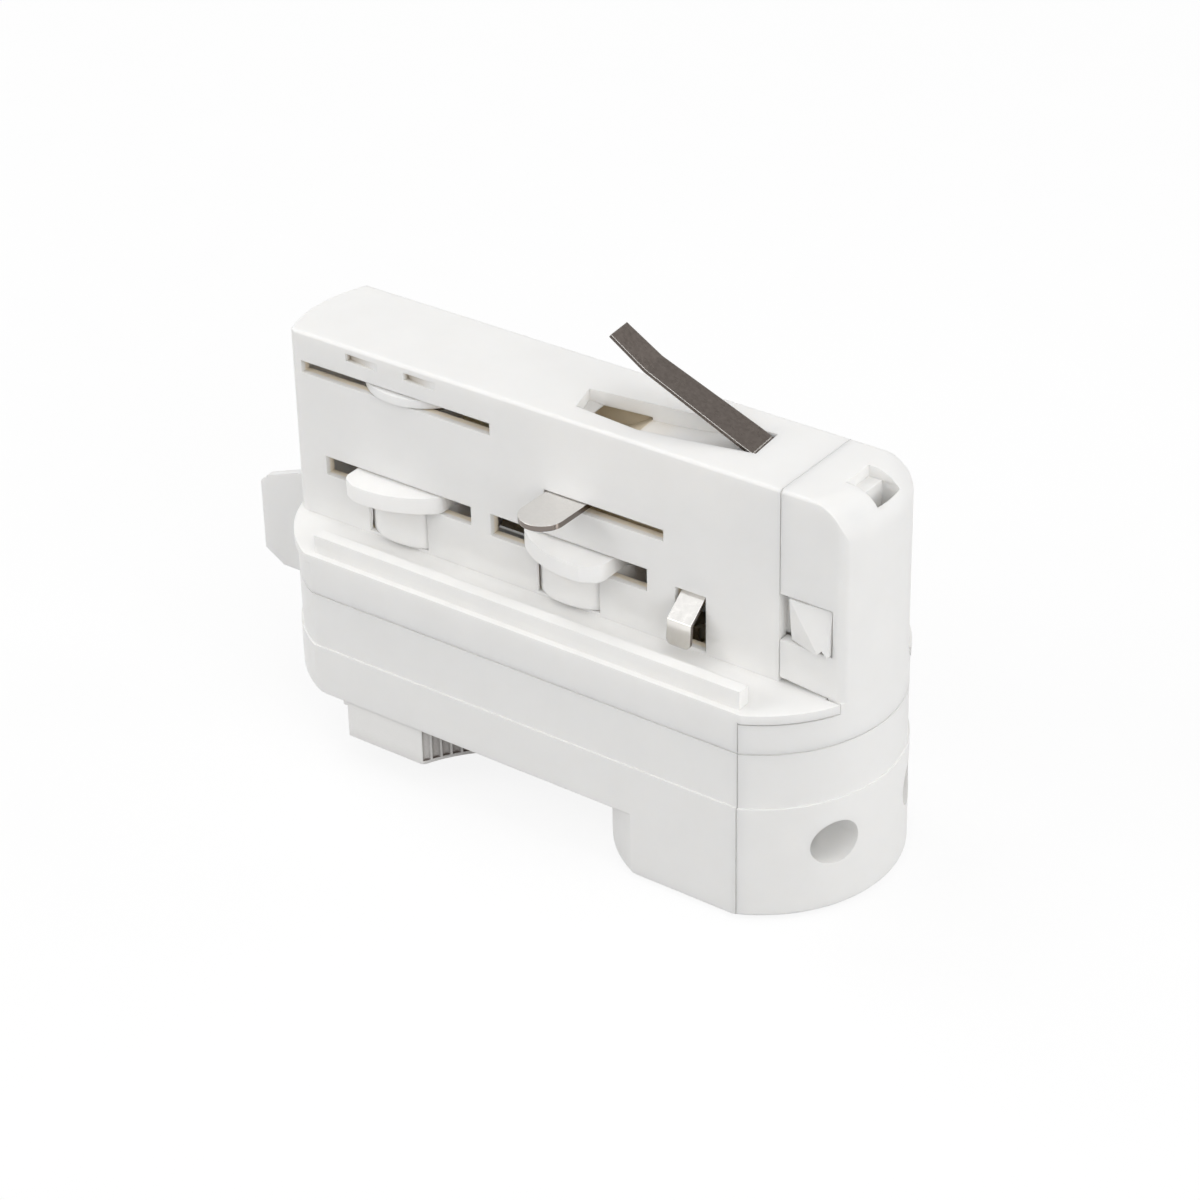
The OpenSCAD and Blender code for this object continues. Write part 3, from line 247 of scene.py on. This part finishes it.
def metal(name, base, shade, rough, painted_rim_highlight=None, cut=None):
    """Grained metal; a rim colour paints a highlight on its edges, cut = (axis, none, full, colour)
    colours its cut sides.
    """
    t = Tree(name)
    b = t.bsdf
    b.inputs["Metallic"].default_value = 1
    grain = t.noise(scale=1800, detail=4, rough=0.65)
    colour = t.ramp(grain, 0.32, shade, 0.68, base)
    soft = t.soft_edge(EDGE_RADIUS)
    if cut:
        axis, none, full, dark = cut
        normal = t.add("ShaderNodeTexCoord").outputs["Normal"]
        facing = t.math("ABSOLUTE", t.axes(normal)[axis])
        colour = t.mix(t.span(facing, 0, 1, none, full), colour, dark)
    # painted highlight: the edges are lightened towards the rim colour
    if painted_rim_highlight:
        turn = t.add("ShaderNodeVectorMath", operation="DOT_PRODUCT")
        t.link(soft, turn.inputs[0])
        t.link(t.add("ShaderNodeNewGeometry").outputs["True Normal"], turn.inputs[1])
        colour = t.mix(t.span(turn.outputs["Value"], 1, 0, RIM_FULL, RIM_NONE), colour, painted_rim_highlight)
    t.link(colour, b.inputs["Base Color"])
    patches = t.noise(scale=700, detail=3, rough=0.6)
    t.link(t.span(patches, rough - 0.04, rough + 0.08, start=0.3, end=0.7), b.inputs["Roughness"])
    grained = t.bump(grain, strength=0.06, distance=GRAIN_DEPTH, normal=soft)
    t.link(grained, b.inputs["Normal"])
    return t.mat


def dress(mat, *names):
    for name in names:
        mesh = nodes[name].data
        mesh.materials.clear()
        mesh.materials.append(mat)


make_camera()

# places in the upper housing with painted shade in a warmer colour, in metres of its own space,
# each a box: (X, Y and Z spans, soft margin, colour)
roof_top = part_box("upper_housing")[1].z
hollow_cover = 0.0028
hollow_top = roof_top - hollow_cover
hollow_bottom = -0.02
hollow_x = (-0.044, 0.035)
hollow_half = 0.0073
hollow_soft = 0.0004
hollow_y = (-hollow_half, hollow_half)
hollow_painted_shade = (0.95, 0.84, 0.68)
hollow = ((hollow_x, hollow_y, (hollow_bottom, hollow_top)), hollow_soft, hollow_painted_shade)

# painted shade: the dark end of the leaf's slot, at the hollow's top, coloured brown
well_x = (-0.0015, 0.0092)
well_half = 0.0055
well_depth = 0.0024
well_y = (-well_half, well_half)
well_painted_shade = (0.64, 0.56, 0.43)
well = ((well_x, well_y, (hollow_top - well_depth, hollow_top)), hollow_soft, well_painted_shade)

# painted shade: the snap notches in the front wall, coloured darker where their wedges are deep
notch_x = (-0.036, -0.0205)
notch_y = (-0.0074, -0.0066)
notch_cover = 0.0011
notch_height = 0.0018
notch_top = roof_top - notch_cover
notch_z = (notch_top - notch_height, notch_top)
notch_soft = 0.0007
notch_painted_shade = (0.56, 0.51, 0.44)
notches = ((notch_x, notch_y, notch_z), notch_soft, notch_painted_shade)

# plastics
WHITE = (0.87, 0.862, 0.845)
WHITE_SHADE = (0.85, 0.842, 0.825)
# the neck's hollow, the leaf's well and the notches get painted shade
neck_white = plastic("neck_plastic", WHITE, WHITE_SHADE, painted_shade_boxes=(hollow, well, notches))
white = plastic("white_plastic", WHITE, WHITE_SHADE)
rotor_white = plastic("rotor_plastic", (0.915, 0.907, 0.893), (0.90, 0.892, 0.878),
                      edge_r=ROTOR_EDGE_RADIUS, rough=0.4)
# the grip's ribbed flank under the base gets painted shade where other faces cover it
grip_white = plastic("grip_plastic", WHITE, WHITE_SHADE, through=0.1, painted_shade=(0.16, 0.13, 0.115))
beige = plastic("block_plastic", (0.86, 0.78, 0.66), (0.83, 0.75, 0.63), through=0.2)

# metals; the tongues' cut sides face away from Z, the side contact's face along X
CUT_NICKEL = (0.24, 0.21, 0.19)
tongue_nickel = metal("tongue_nickel", (0.80, 0.785, 0.765), (0.76, 0.745, 0.725), 0.16,
                      cut=("Z", 0.8, 0.4, CUT_NICKEL))
side_nickel = metal("side_nickel", (0.82, 0.805, 0.78), (0.78, 0.765, 0.74), 0.16,
                    cut=("X", 0.4, 0.8, CUT_NICKEL))
# the leaf's edges get a painted highlight
leaf_nickel = metal("leaf_nickel", (0.138, 0.118, 0.105), (0.10, 0.084, 0.074), 0.28,
                    painted_rim_highlight=(0.75, 0.73, 0.70))
tinned = metal("tinned_bar", (0.78, 0.72, 0.62), (0.70, 0.63, 0.53), 0.45)
brass = metal("brass", (0.72, 0.55, 0.28), (0.60, 0.44, 0.20), 0.25)
steel = metal("zinc_steel", (0.62, 0.62, 0.60), (0.50, 0.50, 0.49), 0.28)

dress(neck_white, "upper_housing")
dress(white, "lower_housing", "upper_end_cap", "lower_end_cap")
dress(rotor_white, "locking_rotor", "selector_rotor", "locking_lever")
dress(grip_white, "selector_lever")
dress(beige, "terminal_block")
dress(tongue_nickel, "phase_contact", "neutral_contact")
dress(side_nickel, "earth_side_contact")
dress(leaf_nickel, "earth_leaf")
dress(tinned, "neutral_bar", "phase_bar", "earth_bar", "terminal_clamps")
dress(brass, "stem_nut")
dress(steel, "lever_retaining_ring", "selector_lever_screw", "earth_leaf_pin", "side_contact_pin",
      "terminal_screws", "end_cap_screws", "housing_screws")


def lamp(name, place, side, watts):
    """A square lamp aimed at the origin, in metres."""
    data = bpy.data.lights.new(name, "AREA")
    data.shape = "SQUARE"
    data.size = side
    data.energy = watts
    holder = bpy.data.objects.new(name, data)
    scene.collection.objects.link(holder)
    holder.location = place
    holder.rotation_mode = "QUATERNION"
    holder.rotation_quaternion = (-Vector(place)).to_track_quat("-Z", "Y")


def seen_rays(nt):
    """1 for the rays that show a surface or mirror it, 0 for those that light the object."""
    path = nt.nodes.new("ShaderNodeLightPath")
    value = path.outputs["Is Camera Ray"]
    for kind in ("Is Glossy Ray", "Is Transmission Ray"):
        either = nt.nodes.new("ShaderNodeMath")
        either.operation = "MAXIMUM"
        nt.links.new(value, either.inputs[0])
        nt.links.new(path.outputs[kind], either.inputs[1])
        value = either.outputs[0]
    return value


def white_world():
    """A world that is seen plain white and lights the object only a little."""
    world = bpy.data.worlds.new("studio")
    scene.world = world
    world.use_nodes = True
    nt = world.node_tree
    seen = seen_rays(nt)
    lighting = nt.nodes["Background"]
    lighting.inputs["Color"].default_value = (1, 1, 1, 1)
    lighting.inputs["Strength"].default_value = WORLD_LEVEL
    plain = nt.nodes.new("ShaderNodeBackground")
    plain.inputs["Color"].default_value = (1, 1, 1, 1)
    mix = nt.nodes.new("ShaderNodeMixShader")
    nt.links.new(seen, mix.inputs[0])
    nt.links.new(lighting.outputs[0], mix.inputs[1])
    nt.links.new(plain.outputs[0], mix.inputs[2])
    nt.links.new(mix.outputs[0], nt.nodes["World Output"].inputs["Surface"])


def floor():
    """Pale paper just under the object, nearly white where it is seen."""
    z = cad_lo.z - FLOOR_DROP
    s = FLOOR_HALF
    mesh = bpy.data.meshes.new("floor")
    mesh.from_pydata([(-s, -s, z), (s, -s, z), (s, s, z), (-s, s, z)], [], [(0, 1, 2, 3)])
    o = bpy.data.objects.new("floor", mesh)
    scene.collection.objects.link(o)
    t = Tree("floor_paper")
    seen = seen_rays(t.nt)
    paper = t.ramp(t.noise(scale=60, detail=3, rough=0.5), 0.3, (0.97, 0.97, 0.97), 0.7, (1, 1, 1))
    pale = t.mix(seen, FLOOR_LIGHTING, FLOOR_SEEN)
    t.link(t.mix(1.0, pale, paper, "MULTIPLY"), t.bsdf.inputs["Base Color"])
    t.bsdf.inputs["Roughness"].default_value = FLOOR_ROUGHNESS
    mix = t.add("ShaderNodeMixShader")
    t.link(t.span(seen, 0, FLOOR_GLOW), mix.inputs[0])
    t.link(t.bsdf.outputs[0], mix.inputs[1])
    t.link(t.add("ShaderNodeEmission").outputs[0], mix.inputs[2])
    t.link(mix.outputs[0], t.out.inputs["Surface"])
    mesh.materials.append(t.mat)


white_world()
floor()
lamp("high_front", place=(0.1, -1.0, 1.15), side=0.9, watts=2.75)
lamp("high_right", place=(0.6, -0.2, 1.35), side=0.9, watts=5.6)
lamp("front_left", place=(-0.95, -1.0, 0.7), side=1.0, watts=10.9)
lamp("right", place=(1.35, 0.05, 0.6), side=0.8, watts=2.9)
lamp("front_right", place=(1.2, -0.6, 0.5), side=0.8, watts=7.2)
lamp("high_left", place=(-1.0, 0.2, 1.4), side=1.0, watts=10.5)
lamp("back_right", place=(1.1, 1.1, 0.8), side=0.8, watts=8.0)
